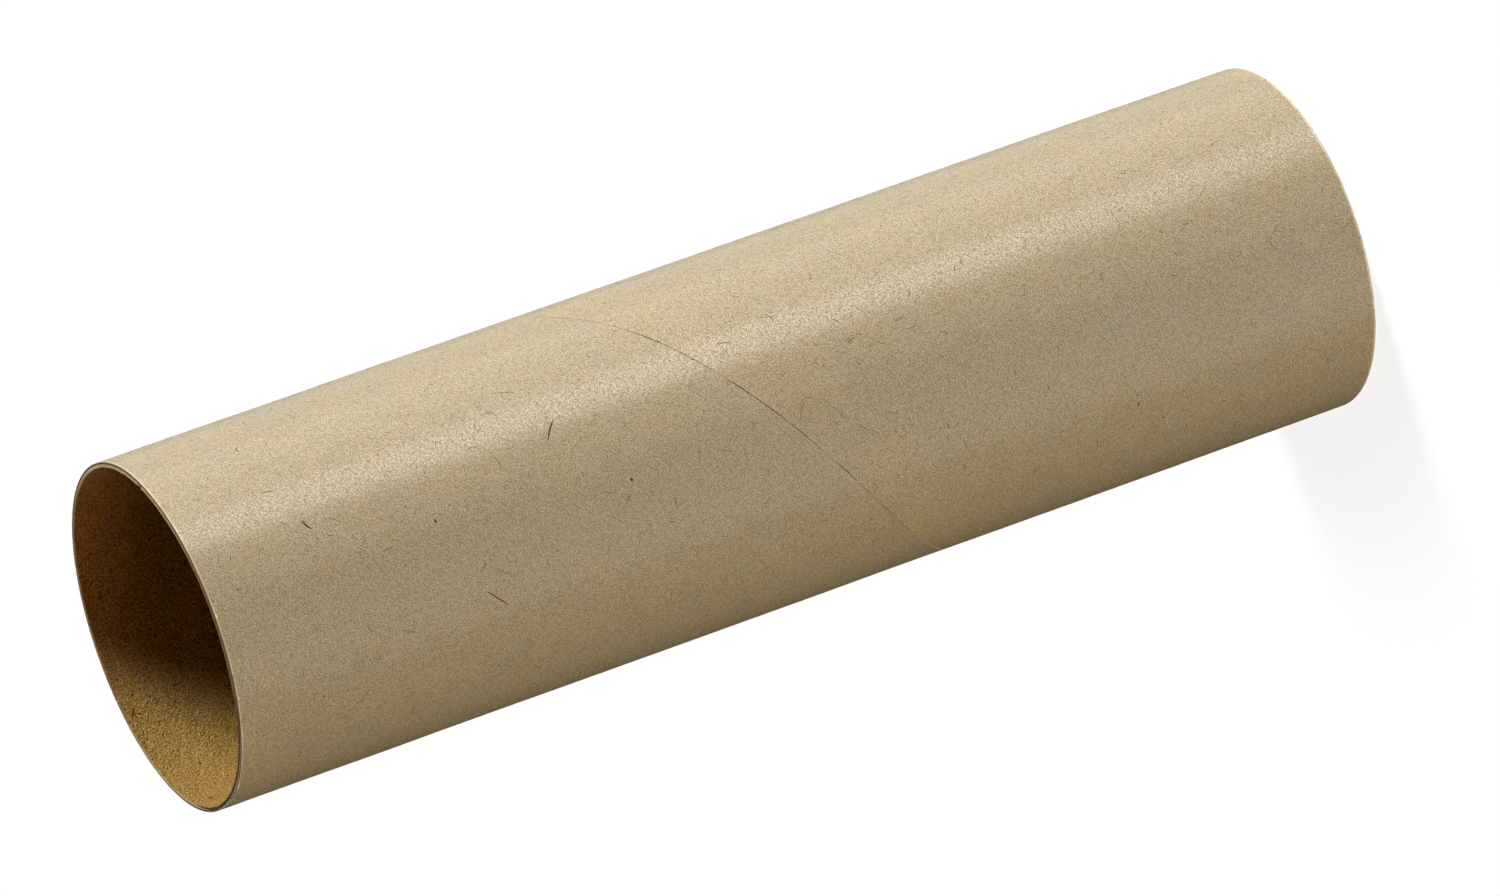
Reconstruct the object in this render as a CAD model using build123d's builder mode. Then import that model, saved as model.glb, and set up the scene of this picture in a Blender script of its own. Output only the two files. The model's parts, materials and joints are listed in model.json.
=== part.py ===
"""A spiral-wound paper tube: a board strip and a kraft strip, each wound edge to edge and glued together.

Millimetres. The tube stands on its lower cut end, with the origin at the middle of that end and +Z along
the axis. The outer seam leaves the lower end on the +X side.
"""

import os
from math import asin, degrees, pi, tan

from build123d import *

# The tube
TUBE_LENGTH = 280.0
BORE_DIAMETER = 76.0

# The two plies, from the inside out
INNER_PLY_THICKNESS = 0.9
OUTER_PLY_THICKNESS = 0.5
EDGE_BEVEL = 0.15  # the knife that cuts the tube to length presses down the corners of both ends

# The winding
OUTER_STRIP_WIDTH = 141.0
SEAM_GAP = 0.2  # left between the edges of a strip, across the seam
SEAM_STAGGER_ANGLE = 128.0  # from the outer seam round to the inner one, so that they never coincide

# How far a cut runs past what it cuts
CUT_OVERRUN = 1.0

# Radii of the wall's three surfaces
BORE_RADIUS = BORE_DIAMETER / 2
GLUE_RADIUS = BORE_RADIUS + INNER_PLY_THICKNESS
OUTER_RADIUS = GLUE_RADIUS + OUTER_PLY_THICKNESS

# A strip that butts against itself after one turn sets the angle of the winding
WINDING_ANGLE = degrees(asin(OUTER_STRIP_WIDTH / (2 * pi * OUTER_RADIUS)))
WINDING_LEAD = 2 * pi * OUTER_RADIUS * tan(WINDING_ANGLE * pi / 180)


def seam_slit(inner_radius, outer_radius):
    """The helical gap between the butted edges of a strip, on +X at the lower end of the tube."""
    with BuildPart() as slit:
        with BuildLine() as seam:
            Helix(
                pitch=WINDING_LEAD,
                height=TUBE_LENGTH + 2 * CUT_OVERRUN,
                radius=(inner_radius + outer_radius) / 2,
                center=(0, 0, -CUT_OVERRUN),
            )
        with BuildSketch(Plane(origin=seam.line @ 0, x_dir=(1, 0, 0), z_dir=seam.line % 0)):
            Rectangle(outer_radius - inner_radius + 2 * CUT_OVERRUN, SEAM_GAP)
        sweep(is_frenet=True)
    overrun_angle = 360 * CUT_OVERRUN / WINDING_LEAD
    return slit.part.rotate(Axis.Z, -overrun_angle)


# The board strip: the inside of the tube, with its bore's end corners pressed down
with BuildPart() as inner_ply:
    with BuildSketch(Plane.XZ) as inner_wall:
        with Locations((BORE_RADIUS, 0)):
            Rectangle(INNER_PLY_THICKNESS, TUBE_LENGTH, align=(Align.MIN, Align.MIN))
        chamfer(inner_wall.vertices().group_by(Axis.X)[0], EDGE_BEVEL)
    revolve(axis=Axis.Z)
    add(seam_slit(BORE_RADIUS, GLUE_RADIUS), rotation=(0, 0, SEAM_STAGGER_ANGLE), mode=Mode.SUBTRACT)

# The kraft strip: wound on the board strip, with its outer end corners pressed down
with BuildPart() as outer_ply:
    with BuildSketch(Plane.XZ) as outer_wall:
        with Locations((GLUE_RADIUS, 0)):
            Rectangle(OUTER_PLY_THICKNESS, TUBE_LENGTH, align=(Align.MIN, Align.MIN))
        chamfer(outer_wall.vertices().group_by(Axis.X)[-1], EDGE_BEVEL)
    revolve(axis=Axis.Z)
    add(seam_slit(GLUE_RADIUS, OUTER_RADIUS), mode=Mode.SUBTRACT)

os.makedirs("parts", exist_ok=True)
inner_ply.part.label = "inner_ply"
outer_ply.part.label = "outer_ply"
export_step(inner_ply.part, "parts/inner_ply.step")
export_step(outer_ply.part, "parts/outer_ply.step")
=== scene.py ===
"""Looks of a spiral-wound paper tube: a smooth kraft strip outside, a rough board strip inside.

Metres, in the model's frame: the tube stands on z = 0 with its axis on +Z, and the outer seam leaves the
lower end on the +X side. The photograph shows it lying down, with its upper end towards the camera.
"""

import json
from math import asin, cos, pi, radians, sin, tan

import bpy
import numpy as np
from mathutils import Matrix, Vector


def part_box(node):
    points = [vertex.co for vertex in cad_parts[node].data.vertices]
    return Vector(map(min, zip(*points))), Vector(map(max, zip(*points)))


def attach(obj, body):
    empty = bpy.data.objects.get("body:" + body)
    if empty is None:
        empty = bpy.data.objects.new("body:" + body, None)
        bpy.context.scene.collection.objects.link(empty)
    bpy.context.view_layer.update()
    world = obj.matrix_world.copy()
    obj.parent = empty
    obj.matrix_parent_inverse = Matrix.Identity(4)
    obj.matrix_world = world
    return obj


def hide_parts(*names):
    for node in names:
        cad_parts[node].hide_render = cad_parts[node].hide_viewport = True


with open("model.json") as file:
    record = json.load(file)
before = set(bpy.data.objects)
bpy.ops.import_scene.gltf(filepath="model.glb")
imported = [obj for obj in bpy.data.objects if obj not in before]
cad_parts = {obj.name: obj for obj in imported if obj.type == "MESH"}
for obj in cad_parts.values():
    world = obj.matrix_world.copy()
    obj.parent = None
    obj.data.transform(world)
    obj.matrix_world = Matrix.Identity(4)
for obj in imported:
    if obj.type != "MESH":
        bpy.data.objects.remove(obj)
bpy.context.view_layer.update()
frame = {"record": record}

MM = 0.001

# The tube, as the model gives it
OUTER_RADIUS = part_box("outer_ply")[1].x
GLUE_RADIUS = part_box("inner_ply")[1].x
TUBE_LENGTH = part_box("outer_ply")[1].z
MOUNT_SIZES = {mount["name"]: mount["dims"] for mount in frame["record"]["mounts"]}
BORE_RADIUS = MOUNT_SIZES["bore"]["r_mm"] * MM

# The winding: a strip butts against itself after one turn, and that sets its angle
STRIP_WIDTH = 141 * MM
STRIP_ANGLE = asin(STRIP_WIDTH / (2 * pi * OUTER_RADIUS))
WINDING_LEAD = 2 * pi * OUTER_RADIUS * tan(STRIP_ANGLE)
KRAFT_SEAM_START = 0.0
BOARD_SEAM_START = radians(128)

# Seams: half the gap left between the butted edges, and how it varies on the way
SEAM_HALF_GAP = 0.045 * MM
SEAM_GAP_CHANGE = 0.022 * MM
SEAM_LEAST_GAP = 0.008 * MM
SEAM_WANDER = 0.1 * MM
SEAM_EDGE_ROUND = 0.05 * MM
SEAM_EDGE_LIFT = 0.03 * MM
SEAM_LIFT_REACH = 1.2 * MM
SEAM_LIFT_CYCLES = 3  # how often the lifted edge changes sides in a turn
# A pinched stretch and a gaping one: where, how far each way, and the change of half the gap
SEAM_PINCH = (radians(252), radians(12), -0.037 * MM)
SEAM_GAPE = (radians(362), radians(24), 0.036 * MM)
BOARD_SEAM_OPENING = 0.3 * MM
BOARD_OPENING_REACH = 2.5 * MM
STRIP_TIP = 0.5 * MM

# Cut ends: what the knife leaves
CUT_ROUND = 0.12 * MM
CUT_ROUGHNESS = 0.05 * MM

# Paper surfaces lie a little inside the model, so that the fibres on them stay within its size
KRAFT_INSET = 0.09 * MM
KRAFT_RIPPLE = 0.022 * MM
BOARD_INSET = 0.06 * MM
BOARD_RIPPLE = 0.045 * MM
GLUE_CLEARANCE = 0.02 * MM

# Waves of the unevenness: how many, and the most that one runs round the tube and along it
KRAFT_WAVE_LIMITS = (18, 9, 8)
BOARD_WAVE_LIMITS = (40, 60, 70)
CUT_WAVE_LIMITS = (40, 180, 0)
SEAM_GAP_WAVE_LIMITS = (16, 40, 0)
SEAM_WANDER_WAVE_LIMITS = (12, 9, 0)
WAVE_CREST = 2.0
SEAM_GAP_CREST = 1.5

# Steps of the ply meshes: round the tube, and across the strip from each edge inwards
STEPS_PER_TURN = 360
EDGE_LADDER = np.array((0.0, 0.03, 0.08, 0.16, 0.4, 1.0, 2.5)) * MM
LEAST_LADDERS = 3  # a strip with less room than this many ladders has them squeezed
MIDDLE_ROWS = 30
BACK_ROWS = 6
WALL_SHARES = (0.25, 0.5, 0.75)
SHARP_EDGE_ANGLE = radians(40)

# The photograph's camera, in its own pixels and in degrees about the standing tube
PHOTO_WIDTH_PIXELS = 1500
PHOTO_HEIGHT_PIXELS = 896
FOCAL_PIXELS = 13550
TUBE_MIDDLE_PIXEL = (729.64, 434.09)
VIEW_AZIMUTH = radians(31.08)
VIEW_ELEVATION = radians(22.08)
VIEW_ROLL = radians(109.55)
VIEW_DISTANCE = 2.9398

# What the photograph shows lying on the paper, as lines of its pixels; each fleck has its own half width
BARK_FLECKS = {
    "short_sliver": (0.24 * MM, ((300, 520), (306, 525), (313, 530))),
    "upright_sliver": (0.24 * MM, ((554, 417), (549.5, 430), (547.5, 442))),
    "thin_branch": (0.07 * MM, ((496, 588), (497, 592), (498, 597))),
    "round_dot": (0.38 * MM, ((630, 478.8), (632, 479.5), (634, 480.2))),
    "faint_dot": (0.2 * MM, ((650, 491.6), (651, 492), (652, 492.5))),
    "far_dot": (0.16 * MM, ((1292, 229), (1293, 229), (1294, 229))),
    "dark_curl": (0.11 * MM, ((847, 345), (849, 341), (853, 337.6), (856.4, 336.8))),
    "dark_dash": (0.12 * MM, ((896, 473), (898, 475.6), (899.4, 479))),
    "lower_hair": (0.11 * MM, ((1014, 369), (1015.4, 372), (1017, 376))),
    "second_lower_hair": (0.1 * MM, ((1048, 384), (1048.8, 388), (1049.4, 391.6))),
    "third_lower_hair": (0.1 * MM, ((1096.6, 439), (1097.6, 442), (1098.8, 445))),
    "lower_sliver": (0.22 * MM, ((1140, 401.2), (1139, 404), (1138.2, 406.8))),
    "lower_dot": (0.2 * MM, ((1162.6, 417.3), (1163.6, 417.7), (1164.6, 418.1))),
    "far_lower_dot": (0.2 * MM, ((1240.2, 408.9), (1242, 408.2), (1243.6, 407.7))),
    "edge_dot": (0.13 * MM, ((1233, 426.4), (1235, 427), (1236.6, 427.6))),
    "near_dot": (0.34 * MM, ((434.4, 518.6), (435.6, 520.8), (436.8, 523))),
    "near_sliver": (0.11 * MM, ((404.4, 504.4), (406, 506.4), (407.4, 508.2))),
    "middle_bar": (0.14 * MM, ((669.4, 521.2), (672.4, 521.8), (675, 522))),
    "shine_fleck": (0.11 * MM, ((517.4, 437), (518.6, 434.8), (519.6, 433))),
    "bottom_dot": (0.2 * MM, ((532.4, 683.1), (534, 683.6), (535.6, 683.9))),
    "near_bottom_dot": (0.26 * MM, ((323.8, 695.7), (324.6, 696.4), (325.4, 697.2))),
}
RED_SLIVER_PIXELS = ((485, 590), (498, 598), (511, 606))
RED_SLIVER_HALF_WIDTH = 0.22 * MM
HAIR_PIXELS = {
    "far_curl": ((1270, 235), (1270, 242), (1274, 248), (1280, 252)),
    "far_hair": ((1354, 219), (1347, 225), (1340, 232)),
    "far_hair_prong": ((1346, 228), (1344, 231), (1343, 234)),
    "far_slant": ((1172, 251), (1175, 253), (1178, 256.4)),
    "far_level": ((1170, 275), (1175, 275.4), (1180, 274.6)),
    "far_arc": ((1216, 301), (1219, 305), (1222, 309)),
    "far_dash": ((1109, 329.6), (1112, 330), (1116, 330)),
    "far_lower_dash": ((1173, 391), (1176, 392.6), (1179, 395)),
    "second_lower_dash": ((1154, 405.6), (1159, 408.4), (1164, 410.4)),
    "hook": ((905, 329), (912, 327.6), (915, 325), (915.4, 319)),
    "slant": ((876, 341), (882, 343), (886, 344)),
    "straight_hair": ((830, 405), (835, 408), (848, 420)),
    "bow": ((894, 425), (896, 432), (900, 436), (907, 438)),
    "lower_bow": ((963.4, 436), (965, 444), (970, 450.4)),
    "faint_hair": ((936, 361), (942, 357), (949, 354)),
    "shine_hair": ((830, 318.4), (835, 319.6), (839.6, 322)),
    "seam_hair": ((618, 328), (615, 331), (613, 334)),
    "seam_thread": ((801, 424), (801, 410), (806, 400)),
    "middle_hair": ((715, 449), (724, 450.6), (736, 451.6)),
    "rising_hair": ((763.4, 508), (768, 500), (773, 494.4)),
    "falling_hair": ((691, 546), (696, 551), (699.6, 556)),
    "near_curl": ((481, 417), (486, 412), (492, 412), (497, 417), (496, 422)),
    "near_hair": ((383, 433), (387, 432.2), (392, 431.6)),
    "long_hair": ((488, 394), (500, 392.4), (516, 392)),
    "thread": ((496, 569), (508, 573), (516, 579)),
    "bent_thread": ((476, 581.6), (481, 583), (488, 581)),
    "low_thread": ((270, 604.6), (275, 605.6), (281, 607.6)),
    "near_thread": ((328, 516), (336, 520), (342, 522.4)),
    "short_thread": ((389, 626), (389.4, 629), (389.6, 632)),
    "upright_thread": ((425, 548), (425.6, 551), (426, 554)),
    "level_thread": ((400, 630), (410, 631), (420, 633.6)),
}
HAIR_HALF_WIDTH = 0.09 * MM
EDGE_BURR_PIXELS = {
    "chip": ((214, 613), (216, 617), (217, 620)),
    "speck": ((237.4, 697), (237.9, 699), (238.2, 701)),
    "lower_speck": ((231.5, 787), (232.3, 789), (232.8, 791)),
}
EDGE_BURR_HALF_WIDTH = 0.32 * MM
# Dark flecks where the board has hollows and a crack: painted shade
BOARD_PIT_PIXELS = {
    "crack": ((134.1, 706.9), (133, 710.3), (132.4, 715.9), (130.2, 719)),
    "crack_pit": ((138.4, 712.4), (139.3, 713.2), (141, 713.8)),
    "upper_pit": ((116, 679), (117, 679.8), (118, 680)),
    "left_pit": ((131.3, 694.3), (132, 694.8), (132.6, 695.6)),
    "shade_pit": ((139.2, 688), (139.8, 688.6), (140.4, 689.4)),
    "middle_pit": ((170, 705), (171, 705.4), (172.4, 705.6)),
    "round_pit": ((177.4, 750), (178.4, 750.6), (179.2, 751)),
    "double_pit": ((198.4, 762), (199.6, 762.8), (201.8, 763.4)),
    "edge_pit": ((145.2, 747), (145.9, 747.8), (146.4, 749)),
    "rim_pit": ((179.2, 789.6), (180, 790.2), (180.8, 790.6)),
    "low_pit": ((210.4, 797.4), (211.2, 798), (212, 798.4)),
}
BOARD_PIT_HALF_WIDTH = 0.3 * MM
# Pale flecks where the board glints: painted highlights
BOARD_GLINT_PIXELS = {
    "long_glint": ((152, 735.4), (153.2, 734.4), (154.4, 733.2)),
    "second_glint": ((156.6, 734.2), (158, 733), (159.2, 732.2)),
    "right_glint": ((180.6, 736.4), (181.4, 735.6), (182, 734.8)),
    "bright_glint": ((198.2, 782), (199.2, 781.4), (200.4, 780.6)),
    "shade_glint": ((117, 651), (117.5, 650.4), (118, 649.8)),
    "rim_glint": ((185.4, 797.8), (186.2, 797.2), (187, 796.8)),
}
BOARD_GLINT_HALF_WIDTH = 0.12 * MM

# Loose fibres: the mesh of one, how it swells in the middle, sits in the paper and curves, in radians
FIBRE_POINTS = 8
FIBRE_CORNERS = 3
FIBRE_SWELL_POWER = 0.6
FIBRE_SINK = 0.008 * MM
FIBRE_BEND = 0.8
FIBRE_SWAY = 0.5

# Fibres scattered over the kraft strip: how many, and the limits of their lengths and half widths
KRAFT_FIBRES = {
    "brown_fibres": (280, (1.2 * MM, 4.5 * MM), (0.06 * MM, 0.12 * MM)),
    "pale_fibres": (500, (1.0 * MM, 3.5 * MM), (0.05 * MM, 0.1 * MM)),
    "fine_fibres": (3600, (1.0 * MM, 3.6 * MM), (0.04 * MM, 0.07 * MM)),
    "dark_fibres": (70, (0.5 * MM, 4.0 * MM), (0.07 * MM, 0.12 * MM)),
}
KRAFT_FIBRE_LIFT = 0.028 * MM

# Fibres scattered over the board strip, and the fuzz on both cut ends
BOARD_FIBRE_COUNT = 1400
BOARD_FIBRE_LENGTHS = (0.5 * MM, 2.6 * MM)
BOARD_FIBRE_HALF_WIDTHS = (0.05 * MM, 0.11 * MM)
BOARD_FIBRE_LIFT = 0.06 * MM
BOARD_LEAST_LIFT = BOARD_FIBRE_LIFT / 3
FUZZ_COUNT = 240
FUZZ_UPPER_SHARE = 0.5
FUZZ_LENGTHS = (0.25 * MM, 0.9 * MM)
FUZZ_HALF_WIDTHS = (0.02 * MM, 0.045 * MM)
FUZZ_SLANT = 0.5
FUZZ_BEND = 0.6

# Patterns that the papers share: noise, and fibres pressed into the cells of a paper
NOISE_MIDDLE = 0.5
NOISE_SPREAD = (0.3, 0.7)
CLOUD_DETAIL = 5.0
CLOUD_ROUGHNESS = 0.62
GRAIN_DETAIL = 2.0
GRAIN_ROUGHNESS = 0.7
CELL_BENDS = 0.6
CELL_FADE_SHARES = (0.12, 0.34)
CELL_LEAST_SHARE = 0.4

# Kraft paper: its clouds and grain, the cells that hold one pressed-in fibre each, with the directions
# of the fibres in degrees, and its relief and polish
KRAFT_CLOUD = 7 * MM
KRAFT_HUE_CLOUD = 9 * MM
KRAFT_HUE_GRAIN = 2.2 * MM
KRAFT_GRAIN = 0.32 * MM
KRAFT_POLISH_GRAIN = 0.6 * MM
KRAFT_BROWN_CELL = (2.4 * MM, 0.28 * MM)
KRAFT_BROWN_SHARE = 0.42
KRAFT_BROWN_MIX_SHARE = 0.66
KRAFT_BROWN_DIRECTIONS = (12, 64, 118, 163)
KRAFT_PALE_CELL = (1.8 * MM, 0.32 * MM)
KRAFT_PALE_SHARE = 0.55
KRAFT_PALE_MIX_SHARE = 0.54
KRAFT_PALE_DIRECTIONS = (35, 92, 141)
KRAFT_RELIEF = 0.035 * MM
KRAFT_RELIEF_STRENGTH = 0.8
KRAFT_TOOTH_LIMITS = (0.0, 1.6)
KRAFT_ROUGHNESS_LIMITS = (0.26, 0.5)
KRAFT_POLISH_LIMITS = (0.1, 0.9)
KRAFT_COAT_WEIGHTS = (0.1, 0.85)
KRAFT_COAT_ROUGHNESS = 0.25
KRAFT_COAT_IOR = 1.7
KRAFT_SPECULAR = 0.35

# Where the glue wetted the strip's upper edge, where the knife crushed the paper, and the pale band of
# frayed paper that also paints the highlight of the rounded corner, measured from the cut end. Clouds and
# grain make the tint and the band uneven
GLUE_TINT_START = STRIP_WIDTH - 26 * MM
GLUE_TINT_FULL = STRIP_WIDTH - 5 * MM
GLUE_TINT_CLOUD = 22 * MM
GLUE_TINT_LIMITS = (0.2, 0.8)
GLUE_TINT_SHARES = (0.55, 1.0)
CRUSH_FULL = 0.16 * MM
CRUSH_END = 0.34 * MM
FRAY_SHEEN_FULL = 0.42 * MM
FRAY_SHEEN_END = 0.72 * MM
FRAY_SHEEN_GRAIN_LIMITS = (0.1, 0.6)
FRAY_SHEEN_GRAIN_SHARES = (0.65, 1.0)
FRAY_SHEEN_CLOUD_LIMITS = (0.2, 0.7)
FRAY_SHEEN_CLOUD_SHARES = (0.6, 1.0)

# Board: the same values, with the hollows between its coarse fibres, sunk in the relief and darkened as
# painted shade; it has no polish
BOARD_CLOUD = 4 * MM
BOARD_GRAIN = 0.4 * MM
BOARD_HUE_GRAIN = 1.0 * MM
BOARD_LUMP = 1.2 * MM
BOARD_DARK_CELL = (1.4 * MM, 0.4 * MM)
BOARD_DARK_SHARE = 0.4
BOARD_DARK_MIX_SHARE = 0.7
BOARD_DARK_DIRECTIONS = (20, 75, 132)
BOARD_PALE_CELL = (1.2 * MM, 0.36 * MM)
BOARD_PALE_SHARE = 0.4
BOARD_PALE_MIX_SHARE = 0.65
BOARD_PALE_DIRECTIONS = (48, 104, 160)
BOARD_PIT_CELL = (1.9 * MM, 1.3 * MM)
BOARD_PIT_SHARE = 0.035
BOARD_PIT_DIRECTIONS = (0, 70)
BOARD_RELIEF = 0.28 * MM
BOARD_RELIEF_STRENGTH = 1.0
BOARD_THREAD_SHARE = 0.6
BOARD_ROUGHNESS_LIMITS = (0.55, 0.85)
BOARD_SPECULAR = 0.15

# Cut ends: their grain and finish, and the layers that show, from the bore outwards
CUT_GRAIN = 0.25 * MM
CUT_SPECK = 0.8 * MM
CUT_CLOUD = 3 * MM
CUT_WAVER = 0.08 * MM
CUT_BLUR = 0.03 * MM
CUT_RELIEF = 0.06 * MM
CUT_RELIEF_STRENGTH = 0.7
CUT_FACE_ROUGHNESS_LIMITS = (0.8, 0.95)
CUT_SPECULAR = 0.1
LINER_END = BORE_RADIUS + 0.1 * MM
DARK_SIDE_LINER_END = GLUE_RADIUS - 0.04 * MM
GLUE_LINE_START = GLUE_RADIUS - 0.05 * MM
GLUE_LINE_END = GLUE_RADIUS + 0.12 * MM

# Sides of the ring: one with a wider dark liner and the paper's cut painted pale as a highlight, and one of
# two opposite ones where the board's cut is paler, as pixels of the photograph; then how far a place faces
# them, as cosines, from none of the effect to all of it
DARK_SIDE_PIXEL = (232, 789)
PALE_SIDE_PIXEL = (124, 465)
DARK_SIDE_FACING = (0.6, 0.95)
PAINTED_HIGHLIGHT_FACING = (0.85, 0.98)
PALE_SIDE_FACING = (0.55, 0.95)

# Finish of the loose fibres, which changes along them
FIBRE_CLOUD = 1.6 * MM
FIBRE_GRAIN = 0.15 * MM
FIBRE_RELIEF = 0.02 * MM
FIBRE_RELIEF_STRENGTH = 0.4
FIBRE_SPECULAR = 0.2
FIBRE_ROUGHNESS_LIMITS = (0.4, 0.6)
GLINT_ROUGHNESS_LIMITS = (0.5, 0.7)
TORN_ROUGHNESS_LIMITS = (0.6, 0.8)
GOLDEN_ROUGHNESS_LIMITS = (0.7, 0.9)

# How far patches, grain and glue take a paper's colour
KRAFT_GREY_PATCH = (0.97, 0.995, 1.06, 1.0)
KRAFT_WARM_PATCH = (1.035, 1.0, 0.94, 1.0)
KRAFT_GREEN_SPECK = (0.94, 1.005, 1.02, 1.0)
KRAFT_ROSY_SPECK = (1.07, 0.992, 0.965, 1.0)
KRAFT_DARK_GRAIN = (0.51, 0.48, 0.41, 1.0)
KRAFT_LIGHT_GRAIN = (1.51, 1.54, 1.62, 1.0)
KRAFT_WETTED = (1.07, 1.03, 0.97, 1.0)
BOARD_GREY_SPECK = (0.97, 1.0, 1.2, 1.0)
BOARD_RED_SPECK = (1.04, 0.95, 0.8, 1.0)
BOARD_DARK_GRAIN = (0.31, 0.23, 0.11, 1.0)
BOARD_LIGHT_GRAIN = (1.76, 1.96, 2.8, 1.0)

# Floor and lamps
FLOOR_RADIUS = 0.3
FLOOR_CORNERS = 96
FLOOR_DROP = 0.1 * MM
FLOOR_FADE = (0.045, 0.1)
FLOOR_GREY = (0.5, 0.5, 0.5, 1.0)
FLOOR_GLOW = 0.82
LAMP_DISTANCE = 10.0
ROOM_LIGHT = 0.012
WHITE = (1.0, 1.0, 1.0)

# Each lamp's azimuth, slope, breadth and depth in degrees as seen from the tube, and its radiance
LAMPS = {
    "key_lamp": (29.7, 24, 18, 24, 27.8),
    "strip_softbox": (-5.6, -21.2, 19, 8, 8.6),
    "shoulder_softbox": (-34, -22, 34, 20, 0.9),
    "broad_softbox": (28, -18, 50, 26, 2.0),
    "side_softbox": (72, -22, 36, 28, 0.9),
    "edge_softbox": (108, -22, 36, 28, 0.45),
    "front_fill": (-88, -12, 50, 28, 0.4),
    "bore_fill": (-112, 8, 64, 15, 1.45),
    "low_fill": (-88, -52, 62, 32, 5.0),
    "table_bounce": (-140, 8, 80, 24, 0.4),
    "back_fill": (125, 12, 60, 30, 2.0),
}
# Lamps that aren't white
LAMP_TINTS = {"bore_fill": (1.0, 0.5, 0.22), "low_fill": (0.945, 1.0, 1.03)}

random = np.random.default_rng(20)


def srgb(red, green, blue):
    """A colour as it is seen, 0 to 255, turned into the shader's numbers."""
    seen = np.array((red, green, blue)) / 255
    linear = np.where(seen <= 0.04045, seen / 12.92, ((seen + 0.055) / 1.055) ** 2.4)
    return (*linear.tolist(), 1.0)


# The photograph's camera


def photo_axes():
    """The camera's right, up and back directions."""
    level_right = Vector((cos(VIEW_AZIMUTH), sin(VIEW_AZIMUTH), 0))
    back = Vector((sin(VIEW_AZIMUTH), -cos(VIEW_AZIMUTH), tan(VIEW_ELEVATION))).normalized()
    level_up = back.cross(level_right)
    right = level_right * cos(VIEW_ROLL) - level_up * sin(VIEW_ROLL)
    up = level_right * sin(VIEW_ROLL) + level_up * cos(VIEW_ROLL)
    return right, up, back


def pixel_ray(x, y):
    """The direction in which the camera sees a pixel of the photograph."""
    right, up, back = photo_axes()
    across = (x - PHOTO_WIDTH_PIXELS / 2) / FOCAL_PIXELS
    down = (y - PHOTO_HEIGHT_PIXELS / 2) / FOCAL_PIXELS
    return right * across - up * down - back


def camera_place():
    """Where the camera stands to see the tube's middle at its pixel."""
    middle = Vector((0, 0, TUBE_LENGTH / 2))
    return middle - pixel_ray(*TUBE_MIDDLE_PIXEL) * VIEW_DISTANCE


def pixel_on_tube(x, y, radius, side):
    """The angle and height that a pixel shows on the near (-1) or far (1) side of a tube of this radius."""
    start = camera_place()
    ray = pixel_ray(x, y)
    flat_start = start.to_2d()
    flat_ray = ray.to_2d()
    half_sum = flat_start.dot(flat_ray)
    rest = flat_start.length_squared - radius**2
    root = (half_sum**2 - flat_ray.length_squared * rest) ** 0.5
    reach = (side * root - half_sum) / flat_ray.length_squared
    point = start + ray * reach
    return np.arctan2(point.y, point.x), point.z


def add_camera():
    right, up, back = photo_axes()
    camera = bpy.data.cameras.new("photo_camera")
    camera.lens = FOCAL_PIXELS / PHOTO_WIDTH_PIXELS * camera.sensor_width
    holder = bpy.data.objects.new("photo_camera", camera)
    holder.matrix_world = Matrix.LocRotScale(camera_place(), Matrix((right, up, back)).transposed(), None)
    bpy.context.scene.collection.objects.link(holder)
    bpy.context.scene.camera = holder


# Unevenness of the paper


def make_waves(count, round_limit, length_limit):
    """Waves that close up round the tube: how often each goes round, along, and where it starts."""
    rounds = random.integers(-round_limit, round_limit, count, endpoint=True)
    lengths = random.uniform(-length_limit, length_limit, count)
    starts = random.uniform(0, 2 * pi, count)
    return rounds, lengths, starts


def wave_height(waves, angle, height):
    """The sum of the waves at places on the tube, about from -2 to 2."""
    total = np.zeros(np.broadcast(angle, height).shape)
    for rounds, lengths, start in zip(*waves):
        total = total + np.cos(rounds * angle + 2 * pi * lengths * height / TUBE_LENGTH + start)
    return total * (2 / len(waves[0])) ** 0.5


KRAFT_WAVES = make_waves(*KRAFT_WAVE_LIMITS)
BOARD_WAVES = make_waves(*BOARD_WAVE_LIMITS)
CUT_WAVES = make_waves(*CUT_WAVE_LIMITS)
SEAM_GAP_WAVES = make_waves(*SEAM_GAP_WAVE_LIMITS)
SEAM_WANDER_WAVES = make_waves(*SEAM_WANDER_WAVE_LIMITS)


def kraft_radius(angle, height):
    """The radius of the kraft strip's outside, which the turns of the board below make slightly uneven."""
    unevenness = np.clip(wave_height(KRAFT_WAVES, angle, height), -WAVE_CREST, WAVE_CREST)
    return OUTER_RADIUS - KRAFT_INSET + KRAFT_RIPPLE * unevenness


def board_radius(angle, height):
    """The radius of the board strip's inside, which is lumpy with coarse fibre."""
    unevenness = np.clip(wave_height(BOARD_WAVES, angle, height), -WAVE_CREST, WAVE_CREST)
    return BORE_RADIUS + BOARD_INSET + BOARD_RIPPLE * unevenness / WAVE_CREST


# Meshes


def add_mesh(name, points, faces):
    mesh = bpy.data.meshes.new(name)
    mesh.from_pydata(points.reshape(-1, 3).tolist(), [], faces)
    piece = bpy.data.objects.new(name, mesh)
    bpy.context.scene.collection.objects.link(piece)
    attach(piece, "root")
    return piece


def tube_points(angles, radii, heights):
    """Points in space from their angles, radii and heights about the axis."""
    return np.stack((radii * np.cos(angles), radii * np.sin(angles), heights), axis=-1)


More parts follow.
